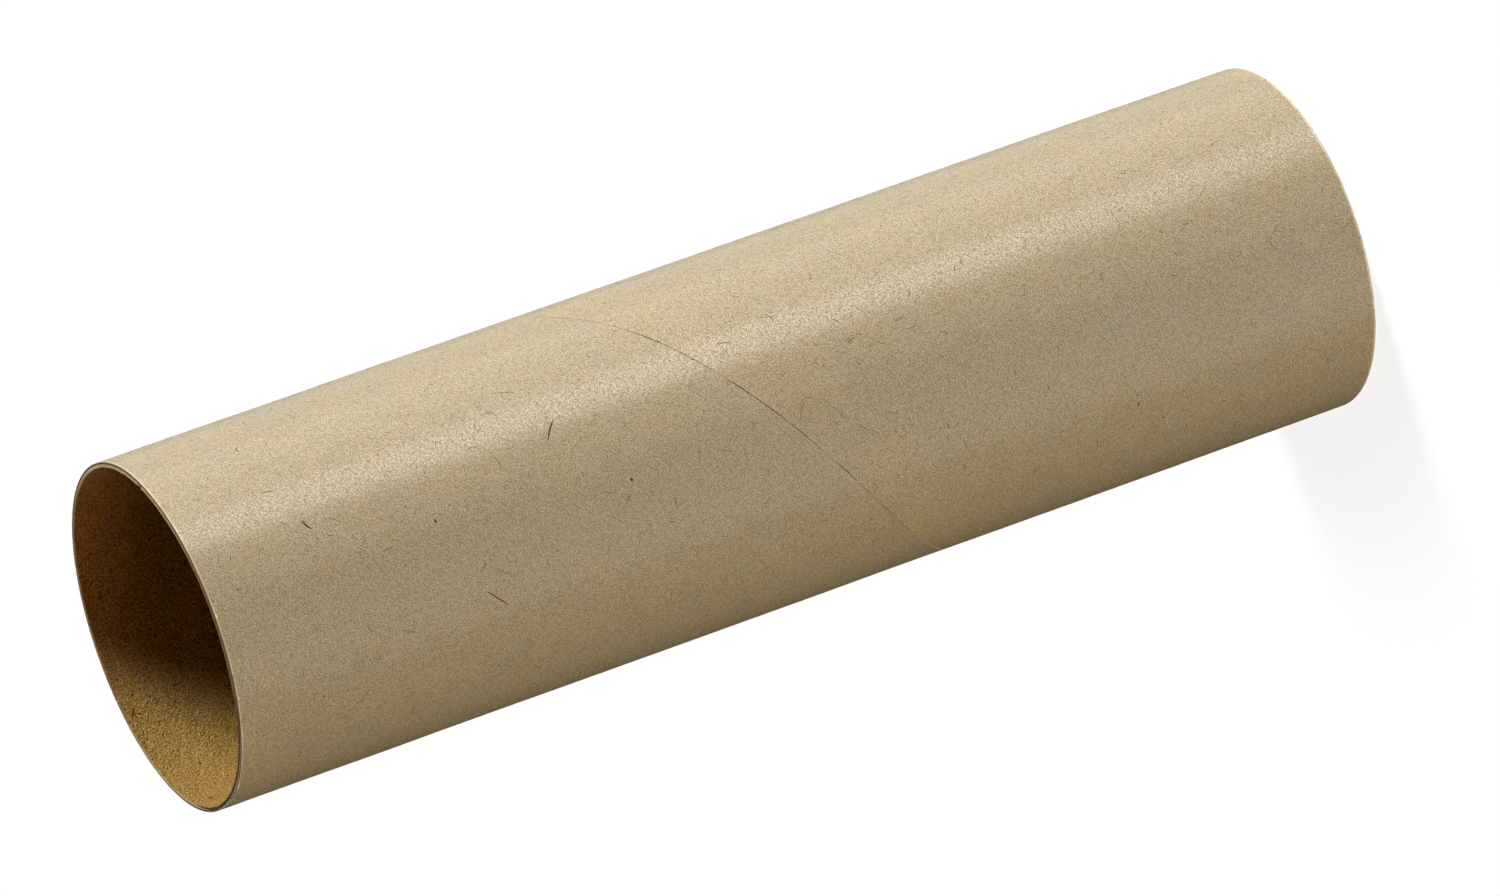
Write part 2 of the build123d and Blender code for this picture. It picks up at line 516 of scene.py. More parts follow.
def strip_rows(low, high):
    """Heights of the rows across a strip between its edges, close together near them."""
    width = (high - low)[:, None]
    squeeze = np.minimum(1, width / (LEAST_LADDERS * EDGE_LADDER[-1]))
    ladder = EDGE_LADDER[None, :] * squeeze
    middle_shares = np.linspace(0, 1, MIDDLE_ROWS + 2)[None, 1:-1]
    lower_rows = low[:, None] + ladder
    upper_rows = high[:, None] - ladder[:, ::-1]
    middle_rows = lower_rows[:, -1:] + (upper_rows[:, :1] - lower_rows[:, -1:]) * middle_shares
    return np.hstack((lower_rows, middle_rows, upper_rows))


def rounded_drop(distance, rounding):
    """How far a rounded edge falls below the face at a distance from the edge."""
    short = np.clip(1 - distance / rounding, 0, 1)
    return rounding * (1 - np.sqrt(1 - short**2))


def wind_strip(name, seam_start, face_radius, back_radius, outward, opening):
    """A strip wound edge to edge into a tube, as closed loops across it, joined on round the turns.

    The face is the side of the strip that shows, the back the side that is glued. The strip's turns are
    counted from where its lower edge leaves the lower end of the tube. The seam opens at the cut ends.
    """
    slope = WINDING_LEAD / (2 * pi)
    first = -2 * pi + (STRIP_TIP + 2 * SEAM_HALF_GAP) / slope
    last = (TUBE_LENGTH - STRIP_TIP - 2 * SEAM_HALF_GAP) / slope
    turns = np.linspace(first, last, int((last - first) / (2 * pi) * STEPS_PER_TURN))
    angles = seam_start + turns

    # The strip's two edges are seams in the middle of the tube and cuts at its ends
    def seam_edge(at_turns, side):
        wander = SEAM_WANDER * wave_height(SEAM_WANDER_WAVES, at_turns, 0)
        change = np.clip(wave_height(SEAM_GAP_WAVES, at_turns, 0), -SEAM_GAP_CREST, SEAM_GAP_CREST)
        gap = SEAM_HALF_GAP + SEAM_GAP_CHANGE * change
        for place, spread, widening in (SEAM_PINCH, SEAM_GAPE):
            gap = gap + widening * np.exp(-(((at_turns - place) / spread) ** 2))
        height = slope * at_turns
        from_end = np.maximum(0, np.minimum(height, TUBE_LENGTH - height))
        gap = np.maximum(gap, SEAM_LEAST_GAP) + opening * np.exp(-from_end / BOARD_OPENING_REACH)
        return height + (wander + side * gap) / cos(STRIP_ANGLE)

    knife_mark = CUT_ROUGHNESS * np.abs(wave_height(CUT_WAVES, angles, 0)) / WAVE_CREST
    seam_low = seam_edge(turns, 1)
    seam_high = seam_edge(turns + 2 * pi, -1)
    low = np.maximum(seam_low, knife_mark)
    high = np.minimum(seam_high, TUBE_LENGTH - knife_mark)
    low_round = np.where(seam_low > knife_mark, SEAM_EDGE_ROUND, CUT_ROUND)[:, None]
    high_round = np.where(seam_high < TUBE_LENGTH - knife_mark, SEAM_EDGE_ROUND, CUT_ROUND)[:, None]

    # The face, with rounded edges that lift a little along the seams
    heights = strip_rows(low, high)
    face_angles = np.broadcast_to(angles[:, None], heights.shape)
    from_low = heights - low[:, None]
    from_high = high[:, None] - heights
    drop = rounded_drop(from_low, low_round) + rounded_drop(from_high, high_round)
    lift_low = np.exp(-(heights - seam_low[:, None]) / SEAM_LIFT_REACH)
    lift_high = np.exp(-(seam_high[:, None] - heights) / SEAM_LIFT_REACH)
    lift = SEAM_EDGE_LIFT * (lift_low - lift_high) * np.cos(SEAM_LIFT_CYCLES * turns)[:, None]
    face = face_radius(face_angles, heights) + outward * (lift - drop)

    # The walls at both edges and the back
    shares = np.array(WALL_SHARES)[None, :]
    top_wall = face[:, -1:] + (back_radius - face[:, -1:]) * shares
    bottom_wall = back_radius + (face[:, :1] - back_radius) * shares
    back_shares = np.linspace(1, 0, BACK_ROWS)[None, :]
    back_heights = low[:, None] + (high - low)[:, None] * back_shares
    back = np.full(back_heights.shape, back_radius)
    wall_count = len(WALL_SHARES)
    loop_radii = np.hstack((face, top_wall, back, bottom_wall))
    top_heights = np.repeat(high[:, None], wall_count, 1)
    bottom_heights = np.repeat(low[:, None], wall_count, 1)
    loop_heights = np.hstack((heights, top_heights, back_heights, bottom_heights))
    loop_angles = np.broadcast_to(angles[:, None], loop_radii.shape)
    points = tube_points(loop_angles, loop_radii, loop_heights)

    steps, loop = loop_radii.shape
    here = np.arange(steps - 1)[:, None] * loop + np.arange(loop)[None, :]
    along = here + loop
    up = np.roll(here, -1, axis=1)
    up_along = np.roll(along, -1, axis=1)
    order = (here, along, up_along, up) if outward > 0 else (here, up, up_along, along)
    faces = np.stack(order, axis=-1).reshape(-1, 4).tolist()
    first_end = np.arange(loop)[::outward].tolist()
    last_end = (np.arange(loop)[::-outward] + (steps - 1) * loop).tolist()
    piece = add_mesh(name, points, faces + [first_end, last_end])

    # The rest of the strip is the cut edge: its walls and its two tips
    row_count = heights.shape[1]
    is_wall = np.ones(loop, dtype=int)
    is_wall[: row_count - 1] = 0
    is_wall[row_count + wall_count : row_count + wall_count + BACK_ROWS - 1] = 0
    materials = np.concatenate((np.tile(is_wall, steps - 1), (1, 1)))
    piece.data.polygons.foreach_set("material_index", materials.astype(np.int32))

    # A flat map of the strip in metres: along it, and across it from its lower seam
    arc = np.broadcast_to(turns[:, None] * OUTER_RADIUS, loop_heights.shape)
    strip_along = arc * cos(STRIP_ANGLE) + loop_heights * sin(STRIP_ANGLE)
    strip_across = loop_heights * cos(STRIP_ANGLE) - arc * sin(STRIP_ANGLE)
    flat = np.stack((strip_along, strip_across), axis=-1).reshape(-1, 2)
    corners = np.empty(len(piece.data.loops), dtype=np.int32)
    piece.data.loops.foreach_get("vertex_index", corners)
    strip_map = piece.data.uv_layers.new(name="strip")
    strip_map.data.foreach_set("uv", flat[corners].astype(np.float32).ravel())

    piece.data.shade_smooth()
    piece.data.set_sharp_from_angle(angle=SHARP_EDGE_ANGLE)
    return piece


def lay_threads(name, lines, ups, half_widths, lifts):
    """Closed three-sided threads along lines of points, tapering to nothing at both ends."""
    count, points = lines.shape[:2]
    along = np.gradient(lines, axis=1)
    sides = np.cross(along, ups)
    sides = sides / np.linalg.norm(sides, axis=-1, keepdims=True)
    swell_shares = np.sin(np.linspace(0, pi, points))[None, :, None] ** FIBRE_SWELL_POWER
    spread = sides * half_widths[:, None, None] * swell_shares
    base = lines - ups * FIBRE_SINK
    ridge = lines + ups * lifts[:, None, None] * swell_shares
    rings = np.stack((base - spread, ridge, base + spread), axis=2)[:, 1:-1]
    vertices = np.concatenate((base[:, :1], rings.reshape(count, -1, 3), base[:, -1:]), axis=1)

    per_thread = vertices.shape[1]
    last = per_thread - 1
    template = []
    last_ring = last - FIBRE_CORNERS
    for corner in range(FIBRE_CORNERS):
        following = (corner + 1) % FIBRE_CORNERS
        for ring in range(1, last_ring, FIBRE_CORNERS):
            next_ring = ring + FIBRE_CORNERS
            template.append((ring + corner, ring + following, next_ring + following, next_ring + corner))
        template.append((0, 1 + following, 1 + corner))
        template.append((last_ring + corner, last_ring + following, last))
    faces = []
    for thread in range(count):
        offset = thread * per_thread
        faces.extend([offset + corner for corner in face] for face in template)
    piece = add_mesh(name, vertices, faces)
    piece.data.shade_smooth()
    return piece


def on_surface(angles, heights, surface):
    """Points on a paper surface, and the directions straight out from the axis there."""
    outs = tube_points(angles, np.ones(angles.shape), np.zeros(angles.shape))
    return tube_points(angles, surface(angles, heights), heights), outs


def scatter_paths(count, lengths, surface_radius):
    """Angles and heights along curved fibres that lie anywhere on the tube's wall."""
    size = lengths[0] + (lengths[1] - lengths[0]) * random.random(count) ** 2
    heading = random.uniform(0, pi, count)
    bend = random.normal(0, FIBRE_BEND, count)
    sway = random.normal(0, FIBRE_SWAY, count)
    shares = np.linspace(-1, 1, FIBRE_POINTS)[None, :]
    direction = heading[:, None] + bend[:, None] * shares + sway[:, None] * np.sin(pi * shares)
    step = size[:, None] / (FIBRE_POINTS - 1)
    across = np.cumsum(np.cos(direction) * step, axis=1)
    upward = np.cumsum(np.sin(direction) * step, axis=1)
    reach = upward.max(axis=1) - upward.min(axis=1) + 2 * CUT_ROUND
    lowest = reach / 2 + random.random(count) * (TUBE_LENGTH - reach)
    middles = (upward.max(axis=1) + upward.min(axis=1)) / 2
    heights = upward - middles[:, None] + lowest[:, None]
    angles = random.uniform(0, 2 * pi, count)[:, None] + across / surface_radius
    return angles, heights


def between(limits, count):
    return random.uniform(limits[0], limits[1], count)


def scatter_kraft_fibres(name):
    count, lengths, half_widths = KRAFT_FIBRES[name]
    angles, heights = scatter_paths(count, lengths, OUTER_RADIUS)
    lines, outs = on_surface(angles, heights, kraft_radius)
    return lay_threads(name, lines, outs, between(half_widths, count), np.full(count, KRAFT_FIBRE_LIFT))


def photo_paths(pixel_lines, radius, side):
    """Angles and heights along lines of the photograph's pixels, on one side of a tube of this radius."""
    angles = []
    heights = []
    for pixels in pixel_lines:
        places = np.array([pixel_on_tube(*pixel, radius, side) for pixel in pixels])
        spots = np.linspace(0, len(pixels) - 1, FIBRE_POINTS)
        angles.append(np.interp(spots, np.arange(len(pixels)), np.unwrap(places[:, 0])))
        heights.append(np.interp(spots, np.arange(len(pixels)), places[:, 1]))
    return np.array(angles), np.array(heights)


def lay_on_kraft(name, pixel_lines, half_widths):
    """Flecks or hairs at the places where the photograph shows them, lying on the kraft strip."""
    angles, heights = photo_paths(pixel_lines, OUTER_RADIUS, -1)
    heights = np.minimum(heights, TUBE_LENGTH - CUT_ROUND - max(half_widths))
    lines, outs = on_surface(angles, heights, kraft_radius)
    return lay_threads(name, lines, outs, np.array(half_widths), np.full(len(lines), KRAFT_FIBRE_LIFT))


def lay_on_board(name, pixel_lines, half_width):
    """Specks at the places where the photograph shows them, lying on the board strip inside the tube."""
    angles, heights = photo_paths(pixel_lines, BORE_RADIUS, 1)
    heights = np.minimum(heights, TUBE_LENGTH - CUT_ROUND - half_width)
    lines, outs = on_surface(angles, heights, board_radius)
    count = len(lines)
    return lay_threads(name, lines, -outs, np.full(count, half_width), np.full(count, BOARD_FIBRE_LIFT))


def scatter_board_fibres():
    angles, heights = scatter_paths(BOARD_FIBRE_COUNT, BOARD_FIBRE_LENGTHS, BORE_RADIUS)
    lines, outs = on_surface(angles, heights, board_radius)
    half_widths = between(BOARD_FIBRE_HALF_WIDTHS, BOARD_FIBRE_COUNT)
    lifts = between((BOARD_LEAST_LIFT, BOARD_FIBRE_LIFT), BOARD_FIBRE_COUNT)
    return lay_threads("board_fibres", lines, -outs, half_widths, lifts)


def scatter_cut_fuzz():
    """Short fibre ends that the knife left lying on both cut ends."""
    angles = random.uniform(0, 2 * pi, FUZZ_COUNT)
    limits = (BORE_RADIUS + CUT_ROUND, OUTER_RADIUS - KRAFT_INSET - CUT_ROUND)
    radii = between(limits, FUZZ_COUNT)
    upper = random.random(FUZZ_COUNT) < FUZZ_UPPER_SHARE
    sizes = between(FUZZ_LENGTHS, FUZZ_COUNT)
    slants = random.normal(0, FUZZ_SLANT, FUZZ_COUNT)
    bends = random.normal(0, FUZZ_BEND, FUZZ_COUNT)
    shares = np.linspace(-0.5, 0.5, FIBRE_POINTS)[None, :]
    turned = sizes[:, None] * shares * np.cos(slants)[:, None]
    outwards = sizes[:, None] * (shares * np.sin(slants)[:, None] + (shares**2 - 0.25) * bends[:, None]) / 2
    line_radii = np.clip(radii[:, None] + outwards, *limits)
    line_angles = angles[:, None] + turned / OUTER_RADIUS
    end_heights = np.where(upper, TUBE_LENGTH - CUT_ROUGHNESS, CUT_ROUGHNESS)[:, None]
    lines = tube_points(line_angles, line_radii, np.broadcast_to(end_heights, line_radii.shape))
    ups = np.zeros(lines.shape)
    ups[..., 2] = np.where(upper, 1, -1)[:, None]
    half_widths = between(FUZZ_HALF_WIDTHS, FUZZ_COUNT)
    return lay_threads("cut_fuzz", lines, ups, half_widths, np.full(FUZZ_COUNT, CUT_ROUGHNESS / 2))


# Shader nodes


def put(tree, kind, inputs=None, **settings):
    """Adds a node: settings are its properties, inputs its sockets by name or number."""
    node = tree.nodes.new("ShaderNode" + kind)
    for name, value in settings.items():
        setattr(node, name, value)
    for name, value in (inputs or {}).items():
        if isinstance(value, bpy.types.NodeSocket):
            tree.links.new(value, node.inputs[name])
        else:
            node.inputs[name].default_value = value
    return node


def calc(tree, operation, first, second=0.0):
    return put(tree, "Math", {0: first, 1: second}, operation=operation).outputs[0]


def vector_calc(tree, operation, first, second):
    return put(tree, "VectorMath", {0: first, 1: second}, operation=operation).outputs


def blend(tree, factor, first, second, kind="MIX"):
    node = put(tree, "Mix", {0: factor, 6: first, 7: second}, data_type="RGBA", blend_type=kind)
    return node.outputs[2]


def vary(tree, colour, pattern, low_tint, high_tint):
    """A colour that a pattern takes from one tint of it to another."""
    low = blend(tree, 1.0, colour, low_tint, "MULTIPLY")
    high = blend(tree, 1.0, colour, high_tint, "MULTIPLY")
    return blend(tree, pattern, low, high)


def fade(tree, value, low, high, at_low=0.0, at_high=1.0):
    """A smooth step from one value to another."""
    inputs = {"Value": value, "From Min": low, "From Max": high, "To Min": at_low, "To Max": at_high}
    return put(tree, "MapRange", inputs, interpolation_type="SMOOTHSTEP").outputs[0]


def start_group(name, inputs, output):
    """An empty node group with named sockets: the group, its inputs and its one output."""
    group = bpy.data.node_groups.new(name, "ShaderNodeTree")
    for socket, kind in inputs.items():
        group.interface.new_socket(socket, in_out="INPUT", socket_type="NodeSocket" + kind)
    group.interface.new_socket(output, in_out="OUTPUT", socket_type="NodeSocketFloat")
    given = group.nodes.new("NodeGroupInput").outputs
    result = group.nodes.new("NodeGroupOutput").inputs[output]
    return group, given, result


def fibre_layer_group():
    """Curved fibres that lie roughly one way: a mask, with only some of the cells holding a fibre."""
    inputs = {"Vector": "Vector", "Direction": "Float", "Length": "Float", "Width": "Float"}
    inputs["Filled Share"] = "Float"
    group, given, result = start_group("fibre_layer", inputs, "Mask")
    bend_scale = calc(group, "DIVIDE", CELL_BENDS, given["Length"])
    bend = put(group, "TexNoise", {"Vector": given["Vector"], "Scale": bend_scale, "Detail": 1.0})
    centred = vector_calc(group, "SUBTRACT", bend.outputs["Color"], (NOISE_MIDDLE,) * 3)[0]
    bend_inputs = {0: centred, "Scale": given["Length"]}
    bend_size = put(group, "VectorMath", bend_inputs, operation="SCALE").outputs[0]
    bent = vector_calc(group, "ADD", given["Vector"], bend_size)[0]
    turn = {"Vector": bent, "Angle": given["Direction"]}
    turned = put(group, "VectorRotate", turn, rotation_type="Z_AXIS").outputs[0]
    parts = put(group, "SeparateXYZ", {0: turned}).outputs
    along = calc(group, "DIVIDE", parts[0], given["Length"])
    across = calc(group, "DIVIDE", parts[1], given["Width"])
    cells = put(group, "CombineXYZ", {0: along, 1: across}).outputs[0]
    spots = put(group, "TexVoronoi", {"Vector": cells, "Scale": 1.0}, voronoi_dimensions="2D").outputs
    near = fade(group, spots["Distance"], *CELL_FADE_SHARES, 1.0, 0.0)
    chance = put(group, "SeparateColor", {0: spots["Color"]}).outputs
    filled = calc(group, "LESS_THAN", chance[0], given["Filled Share"])
    extra = calc(group, "MULTIPLY", chance[1], 1 - CELL_LEAST_SHARE)
    strength = calc(group, "ADD", extra, CELL_LEAST_SHARE)
    mask = calc(group, "MULTIPLY", calc(group, "MULTIPLY", near, filled), strength)
    group.links.new(mask, result)
    return group


def noise_group(name, size_name, detail, roughness):
    """Noise of a given size, spread over the values from 0 to 1."""
    group, given, result = start_group(name, {"Vector": "Vector", size_name: "Float"}, "Value")
    scale = calc(group, "DIVIDE", 1.0, given[size_name])
    inputs = {"Vector": given["Vector"], "Scale": scale, "Detail": detail, "Roughness": roughness}
    noise = put(group, "TexNoise", inputs).outputs[0]
    group.links.new(fade(group, noise, *NOISE_SPREAD), result)
    return group


FIBRE_LAYER = fibre_layer_group()
CLOUDING = noise_group("pulp_clouding", "Cloud Size", CLOUD_DETAIL, CLOUD_ROUGHNESS)
GRAIN = noise_group("paper_grain", "Grain Size", GRAIN_DETAIL, GRAIN_ROUGHNESS)


def clouding(tree, place, size):
    """The cloudy look of pulp held against the light."""
    return put(tree, "Group", {"Vector": place, "Cloud Size": size}, node_tree=CLOUDING).outputs[0]


def grain_of(tree, place, size):
    """The fine tooth of paper."""
    return put(tree, "Group", {"Vector": place, "Grain Size": size}, node_tree=GRAIN).outputs[0]


def fibre_layers(tree, place, directions, cell, filled_share):
    """Several fibre layers that cross each other, as one mask."""
    mask = 0.0
    for direction in directions:
        inputs = {"Vector": place, "Direction": radians(direction), "Length": cell[0], "Width": cell[1]}
        inputs["Filled Share"] = filled_share
        layer = put(tree, "Group", inputs, node_tree=FIBRE_LAYER).outputs[0]
        mask = calc(tree, "MAXIMUM", mask, layer)
    return mask


def start_material(name):
    """A new material, its node tree and its shader."""
    material = bpy.data.materials.new(name)
    material.use_nodes = True
    return material, material.node_tree, material.node_tree.nodes["Principled BSDF"]


def finish_material(tree, shader, colour, roughness, relief, relief_depth, relief_strength):
    tree.links.new(colour, shader.inputs["Base Color"])
    tree.links.new(roughness, shader.inputs["Roughness"])
    bump = put(tree, "Bump", {"Strength": relief_strength, "Distance": relief_depth, "Height": relief})
    tree.links.new(bump.outputs[0], shader.inputs["Normal"])


def strip_coordinates(tree):
    return put(tree, "UVMap", uv_map="strip").outputs[0]


def tube_coordinates(tree):
    return put(tree, "TexCoord").outputs["Object"]


def kraft_material():
    """Smooth, calendered kraft paper: tan, cloudy, full of brown and pale fibres, with a dull shine."""
    material, tree, shader = start_material("kraft_paper")
    flat = strip_coordinates(tree)
    grain = grain_of(tree, flat, KRAFT_GRAIN)
    polish = grain_of(tree, flat, KRAFT_POLISH_GRAIN)
    brown = fibre_layers(tree, flat, KRAFT_BROWN_DIRECTIONS, KRAFT_BROWN_CELL, KRAFT_BROWN_SHARE)
    pale = fibre_layers(tree, flat, KRAFT_PALE_DIRECTIONS, KRAFT_PALE_CELL, KRAFT_PALE_SHARE)

    clouds = clouding(tree, flat, KRAFT_CLOUD)
    colour = blend(tree, clouds, srgb(167, 150, 109), srgb(172, 154, 114))
    colour = vary(tree, colour, clouding(tree, flat, KRAFT_HUE_CLOUD), KRAFT_GREY_PATCH, KRAFT_WARM_PATCH)
    colour = vary(tree, colour, grain_of(tree, flat, KRAFT_HUE_GRAIN), KRAFT_GREEN_SPECK, KRAFT_ROSY_SPECK)
    colour = vary(tree, colour, grain, KRAFT_DARK_GRAIN, KRAFT_LIGHT_GRAIN)
    brown_mix = calc(tree, "MULTIPLY", brown, KRAFT_BROWN_MIX_SHARE)
    colour = blend(tree, brown_mix, colour, srgb(130, 102, 64))
    pale_mix = calc(tree, "MULTIPLY", pale, KRAFT_PALE_MIX_SHARE)
    colour = blend(tree, pale_mix, colour, srgb(196, 178, 142))

    # A warmer tint where the strip's upper edge was wetted by the glue
    across = put(tree, "SeparateXYZ", {0: flat}).outputs[1]
    patches = clouding(tree, flat, GLUE_TINT_CLOUD)
    near_edge = fade(tree, across, GLUE_TINT_START, GLUE_TINT_FULL)
    uneven = fade(tree, patches, *GLUE_TINT_LIMITS, *GLUE_TINT_SHARES)
    tint = calc(tree, "MULTIPLY", near_edge, uneven)
    colour = blend(tree, tint, colour, blend(tree, 1.0, colour, KRAFT_WETTED, "MULTIPLY"))

    # The paper is frayed pale along both cut ends, a band that also paints the highlight of the rounded
    # corner, and the knife crushed its corner at the upper one
    height = put(tree, "SeparateXYZ", {0: tube_coordinates(tree)}).outputs[2]
    from_top = calc(tree, "SUBTRACT", TUBE_LENGTH, height)
    from_end = calc(tree, "MINIMUM", height, from_top)
    fray_and_sheen = fade(tree, from_end, FRAY_SHEEN_FULL, FRAY_SHEEN_END, 1.0, 0.0)
    by_grain = fade(tree, grain, *FRAY_SHEEN_GRAIN_LIMITS, *FRAY_SHEEN_GRAIN_SHARES)
    by_clouds = fade(tree, clouds, *FRAY_SHEEN_CLOUD_LIMITS, *FRAY_SHEEN_CLOUD_SHARES)
    fray_and_sheen = calc(tree, "MULTIPLY", calc(tree, "MULTIPLY", fray_and_sheen, by_grain), by_clouds)
    colour = blend(tree, fray_and_sheen, colour, srgb(222, 204, 164))
    crushed = fade(tree, from_top, CRUSH_FULL, CRUSH_END, 1.0, 0.0)
    colour = blend(tree, crushed, colour, srgb(118, 88, 52))

    uneven = calc(tree, "ADD", grain, brown)
    roughness = fade(tree, uneven, *KRAFT_TOOTH_LIMITS, *KRAFT_ROUGHNESS_LIMITS)
    tooth = calc(tree, "MULTIPLY", calc(tree, "ADD", grain, polish), 0.5)
    threads = calc(tree, "MULTIPLY", calc(tree, "ADD", brown, pale), 0.5)
    relief = calc(tree, "ADD", tooth, threads)
    finish_material(tree, shader, colour, roughness, relief, KRAFT_RELIEF, KRAFT_RELIEF_STRENGTH)

    # The calender polished only the high spots, and nothing shines where the knife crushed the paper
    coat = fade(tree, polish, *KRAFT_POLISH_LIMITS, *KRAFT_COAT_WEIGHTS)
    polished = calc(tree, "SUBTRACT", coat, crushed)
    tree.links.new(calc(tree, "MAXIMUM", polished, 0.0), shader.inputs["Coat Weight"])
    shader.inputs["Coat Roughness"].default_value = KRAFT_COAT_ROUGHNESS
    shader.inputs["Coat IOR"].default_value = KRAFT_COAT_IOR
    shader.inputs["Specular IOR Level"].default_value = KRAFT_SPECULAR
    return material


def board_material():
    """Rough brown board: golden, dull, matted from coarse fibres that stand up."""
    material, tree, shader = start_material("brown_board")
    flat = strip_coordinates(tree)
    grain = grain_of(tree, flat, BOARD_GRAIN)
    dark = fibre_layers(tree, flat, BOARD_DARK_DIRECTIONS, BOARD_DARK_CELL, BOARD_DARK_SHARE)
    pale = fibre_layers(tree, flat, BOARD_PALE_DIRECTIONS, BOARD_PALE_CELL, BOARD_PALE_SHARE)
    shaded_pits = fibre_layers(tree, flat, BOARD_PIT_DIRECTIONS, BOARD_PIT_CELL, BOARD_PIT_SHARE)

    colour = blend(tree, clouding(tree, flat, BOARD_CLOUD), srgb(195, 150, 63), srgb(207, 161, 72))
    colour = vary(tree, colour, grain_of(tree, flat, BOARD_HUE_GRAIN), BOARD_GREY_SPECK, BOARD_RED_SPECK)
    colour = vary(tree, colour, grain, BOARD_DARK_GRAIN, BOARD_LIGHT_GRAIN)
    dark_mix = calc(tree, "MULTIPLY", dark, BOARD_DARK_MIX_SHARE)
    colour = blend(tree, dark_mix, colour, srgb(116, 74, 30))
    pale_mix = calc(tree, "MULTIPLY", pale, BOARD_PALE_MIX_SHARE)
    colour = blend(tree, pale_mix, colour, srgb(222, 192, 136))
    # The hollows are darkened: painted shade, besides their dip in the relief
    colour = blend(tree, shaded_pits, colour, srgb(116, 80, 34))

    roughness = fade(tree, grain, 0.0, 1.0, *BOARD_ROUGHNESS_LIMITS)
    threads = calc(tree, "MULTIPLY", calc(tree, "ADD", dark, pale), BOARD_THREAD_SHARE)
    lumps = calc(tree, "SUBTRACT", grain_of(tree, flat, BOARD_LUMP), shaded_pits)
    relief = calc(tree, "ADD", calc(tree, "ADD", grain, threads), lumps)
    finish_material(tree, shader, colour, roughness, relief, BOARD_RELIEF, BOARD_RELIEF_STRENGTH)
    shader.inputs["Specular IOR Level"].default_value = BOARD_SPECULAR
    return material


def cut_edge_material():
    """The cut plies: the dark liner of the bore, the board, the glue line and the kraft paper's edge.

    The board's cut is brown, and paler on two opposite sides. Towards one side the dark liner is wider, and
    there the paper's cut edge is painted pale cream as a highlight.
    """
    material, tree, shader = start_material("cut_edge")
    place = tube_coordinates(tree)
    grain = grain_of(tree, place, CUT_GRAIN)
    specks = grain_of(tree, place, CUT_SPECK)
    clouds = clouding(tree, place, CUT_CLOUD)

    from_axis = vector_calc(tree, "MULTIPLY", place, (1.0, 1.0, 0.0))[0]
    radius = put(tree, "VectorMath", {0: from_axis}, operation="LENGTH").outputs["Value"]
    waver = calc(tree, "MULTIPLY", calc(tree, "SUBTRACT", clouds, NOISE_MIDDLE), CUT_WAVER)
    depth = calc(tree, "ADD", radius, waver)

    outward = put(tree, "VectorMath", {0: from_axis}, operation="NORMALIZE").outputs[0]

    def facing(pixel):
        angle = pixel_on_tube(*pixel, OUTER_RADIUS, -1)[0]
        return vector_calc(tree, "DOT_PRODUCT", outward, (cos(angle), sin(angle), 0.0))["Value"]

    facing_dark_side = facing(DARK_SIDE_PIXEL)
    # Towards one side the dark liner widens
    dark_side = fade(tree, facing_dark_side, *DARK_SIDE_FACING)
    # Towards that side the paper's cut turns pale cream: a painted highlight
    painted_highlight = fade(tree, facing_dark_side, *PAINTED_HIGHLIGHT_FACING)
    # The board's cut is paler on two opposite sides and darker brown elsewhere
    pale_sides = fade(tree, calc(tree, "ABSOLUTE", facing(PALE_SIDE_PIXEL)), *PALE_SIDE_FACING)

    def past(start):
        return fade(tree, calc(tree, "SUBTRACT", depth, start), -CUT_BLUR, CUT_BLUR)

    darker_board = blend(tree, grain, srgb(134, 102, 66), srgb(170, 134, 92))
    pressed = blend(tree, grain, srgb(190, 170, 126), srgb(226, 208, 164))
    board = blend(tree, pale_sides, darker_board, pressed)
    glue = blend(tree, grain, srgb(72, 46, 22), srgb(100, 68, 36))
    liner = blend(tree, specks, srgb(46, 30, 12), srgb(124, 94, 54))
    paper = blend(tree, specks, srgb(106, 76, 42), srgb(160, 124, 78))
    pale_paper = blend(tree, grain, srgb(178, 158, 122), srgb(226, 210, 176))
    colour = blend(tree, past(fade(tree, dark_side, 0.0, 1.0, LINER_END, DARK_SIDE_LINER_END)), liner, board)
    colour = blend(tree, past(GLUE_LINE_START), colour, glue)
    # The paper's cut edge, painted pale as a highlight towards one side
    colour = blend(tree, past(GLUE_LINE_END), colour, blend(tree, painted_highlight, paper, pale_paper))

    roughness = fade(tree, grain, 0.0, 1.0, *CUT_FACE_ROUGHNESS_LIMITS)
    finish_material(tree, shader, colour, roughness, grain, CUT_RELIEF, CUT_RELIEF_STRENGTH)
    shader.inputs["Specular IOR Level"].default_value = CUT_SPECULAR
    return material


def fibre_material(name, thin_colour, thick_colour, roughness_limits=FIBRE_ROUGHNESS_LIMITS):
    """Loose pulp fibre that changes colour along its length."""
    material, tree, shader = start_material(name)
    place = tube_coordinates(tree)
    grain = grain_of(tree, place, FIBRE_GRAIN)
    colour = blend(tree, clouding(tree, place, FIBRE_CLOUD), thin_colour, thick_colour)
    roughness = fade(tree, grain, 0.0, 1.0, *roughness_limits)
    finish_material(tree, shader, colour, roughness, grain, FIBRE_RELIEF, FIBRE_RELIEF_STRENGTH)
    shader.inputs["Specular IOR Level"].default_value = FIBRE_SPECULAR
    return material


# The pieces


def build_plies():
    kraft = wind_strip("kraft_strip", KRAFT_SEAM_START, kraft_radius, GLUE_RADIUS + GLUE_CLEARANCE, 1, 0)
    kraft.data.materials.append(kraft_material())
    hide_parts("outer_ply")

    back_radius = GLUE_RADIUS - GLUE_CLEARANCE
    board = wind_strip("board_strip", BOARD_SEAM_START, board_radius, back_radius, -1, BOARD_SEAM_OPENING)
    board.data.materials.append(board_material())
    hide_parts("inner_ply")

    cut_edge = cut_edge_material()
    for piece in (kraft, board):
        piece.data.materials.append(cut_edge)


def finish_fibres(piece, material):
    piece.data.materials.append(material)


